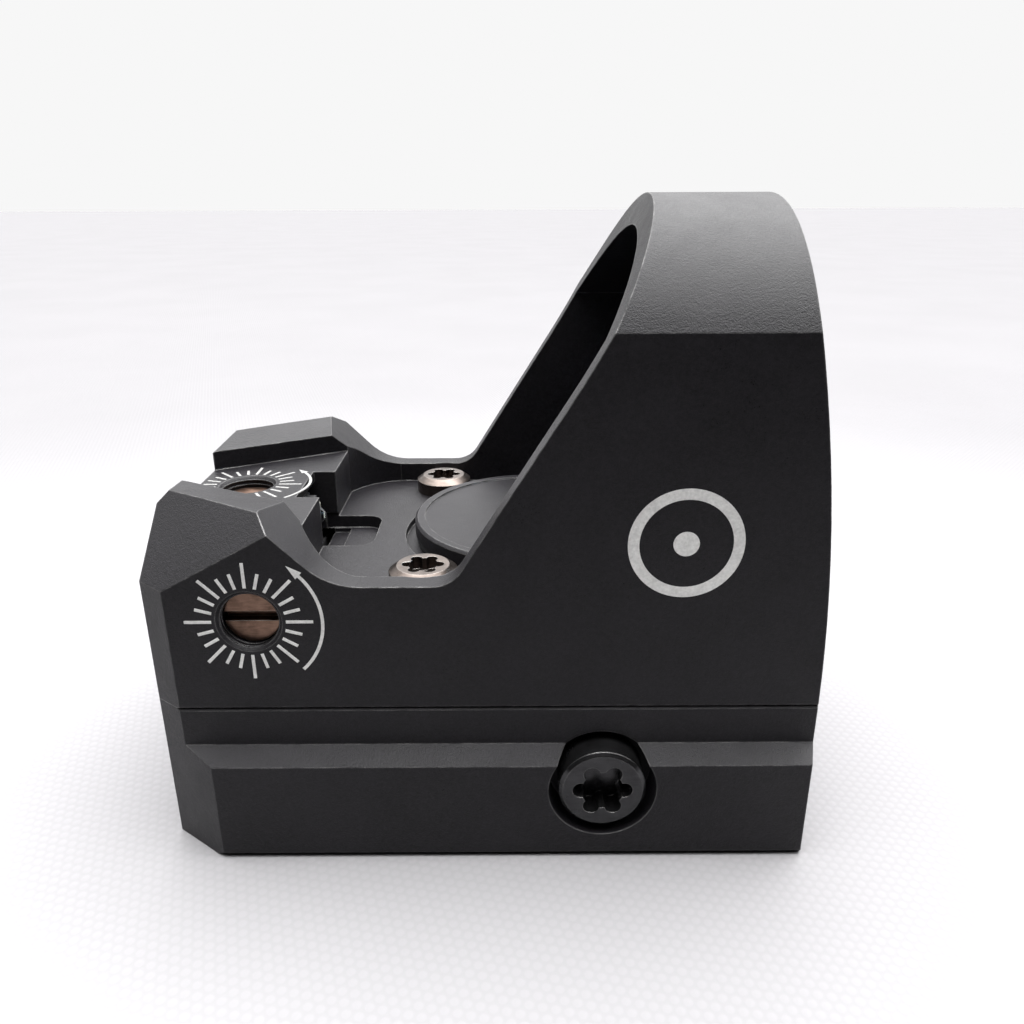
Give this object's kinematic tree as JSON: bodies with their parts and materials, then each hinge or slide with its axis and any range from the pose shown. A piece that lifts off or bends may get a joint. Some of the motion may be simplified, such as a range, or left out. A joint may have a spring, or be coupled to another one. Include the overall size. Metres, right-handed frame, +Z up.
{
  "type": "micro reflex sight on a rail mount",
  "caption": "Open reflex sight with a tilted lens in an arched hood, sunken rear platform with an emitter, coin-cell cap and low rail clamp.",
  "frame": {"origin": "centre of the footprint, on the underside of the clamping jaws", "axes": "+X towards the target, +Y to the shooter's left where the loose clamp bar is, +Z up"},
  "size_m": [0.0452, 0.03, 0.0421],
  "materials": {
    "housing_black": "bead blasted, matte anodised",
    "mount_black": "matte anodised",
    "cap_black": "fine matte anodised",
    "screw_black": "black oxide, semi gloss",
    "screw_bronze": "worn, dull bronze sheen",
    "steel_bright": "bright",
    "adjuster_bronze": "dark bronze",
    "lens_glass": "coated optical glass",
    "bond_black": "black bonding compound",
    "rubber_black": "smooth",
    "slide_plastic": "glass filled, black",
    "emitter_ceramic": "light ceramic",
    "emitter_clear": "clear moulded",
    "board_green": "solder mask",
    "chip_black": "moulded",
    "contact_brass": "plated",
    "button_rubber": "soft, matte"
  },
  "bodies": {
    "mount": {"mount_base": "mount_black", "housing": "housing_black", "mounting_screws": "screw_bronze", "locating_pins": "steel_bright", "lens_rear": "lens_glass", "lens_front": "lens_glass", "lens_seal": "bond_black", "windage_spring": "steel_bright", "elevation_spring": "steel_bright", "bottom_plate": "mount_black", "bottom_gasket": "rubber_black", "plate_screws": "screw_black", "control_board": "board_green", "board_parts": "chip_black", "battery": "steel_bright", "contact_spring": "contact_brass", "button_plate": "mount_black", "switch_board": "board_green", "switch_domes": "steel_bright"},
    "clamp_screw": {"clamp_screw": "screw_black"},
    "clamp_bar": {"clamp_bar": "mount_black"},
    "windage_seal": {"windage_oring": "rubber_black"},
    "windage_screw": {"windage_screw": "adjuster_bronze"},
    "elevation_seal": {"elevation_oring": "rubber_black"},
    "elevation_screw": {"elevation_screw": "adjuster_bronze"},
    "elevation_carriage": {"elevation_carriage": "slide_plastic"},
    "emitter_slide": {"windage_slide": "slide_plastic", "led_emitter": "emitter_ceramic", "emitter_dome": "emitter_clear"},
    "cap_seal": {"cap_oring": "rubber_black"},
    "battery_cap": {"battery_cap": "cap_black"},
    "button_down": {"button_down": "button_rubber"},
    "button_up": {"button_up": "button_rubber"}
  },
  "joints": [
    {"name": "clamp_bar_open", "type": "slide", "parent": "mount", "child": "clamp_bar", "axis": [0, 1, 0], "range_m": [0, 0.00224]},
    {"name": "clamp_screw_turn", "type": "hinge", "parent": "mount", "child": "clamp_screw", "pos_m": [0.00675, 0, 0.0054], "axis": [0, -1, 0], "range_deg": [0, 1152.1]},
    {"name": "windage_feed", "type": "slide", "parent": "mount", "child": "windage_seal", "axis": [0, -1, 0], "range_m": [-0.00035, 0.00035]},
    {"name": "windage_turn", "type": "hinge", "parent": "windage_seal", "child": "windage_screw", "pos_m": [-0.0156, -0.013, 0.01715], "axis": [0, -1, 0], "range_deg": [-360, 360]},
    {"name": "elevation_feed", "type": "slide", "parent": "mount", "child": "elevation_seal", "axis": [0, 0, 1], "range_m": [-0.00035, 0.00035]},
    {"name": "elevation_turn", "type": "hinge", "parent": "elevation_seal", "child": "elevation_screw", "pos_m": [-0.019, 0, 0.0205], "axis": [0, 0, 1], "range_deg": [-360, 360]},
    {"name": "elevation_shift", "type": "slide", "parent": "mount", "child": "elevation_carriage", "axis": [0, 0, 1], "range_m": [-0.00036, 0.00036], "deforming": ["elevation_spring"]},
    {"name": "windage_shift", "type": "slide", "parent": "elevation_carriage", "child": "emitter_slide", "axis": [0, -1, 0], "range_m": [-0.00036, 0.00036]},
    {"name": "cap_lift", "type": "slide", "parent": "mount", "child": "cap_seal", "axis": [0, 0, 1], "range_m": [0, 0.0016]},
    {"name": "cap_turn", "type": "hinge", "parent": "cap_seal", "child": "battery_cap", "pos_m": [0.0028, 0, 0.018], "axis": [0, 0, 1], "range_deg": [0, 720.1]},
    {"name": "button_down_press", "type": "slide", "parent": "mount", "child": "button_down", "axis": [0, -1, 0], "range_m": [0, 0.0004], "stiffness_N_per_m": 3000},
    {"name": "button_up_press", "type": "slide", "parent": "mount", "child": "button_up", "axis": [0, -1, 0], "range_m": [0, 0.0004], "stiffness_N_per_m": 3000}
  ],
  "couplings": [
    {"joint": "clamp_screw_turn", "follows": "clamp_bar_open", "rad_per_m": 8975.9},
    {"joint": "windage_turn", "follows": "windage_feed", "rad_per_m": 17952},
    {"joint": "windage_shift", "follows": "windage_feed", "ratio": 1},
    {"joint": "elevation_turn", "follows": "elevation_feed", "rad_per_m": 17952},
    {"joint": "elevation_shift", "follows": "elevation_feed", "ratio": 1},
    {"joint": "cap_turn", "follows": "cap_lift", "rad_per_m": 7853.9}
  ]
}
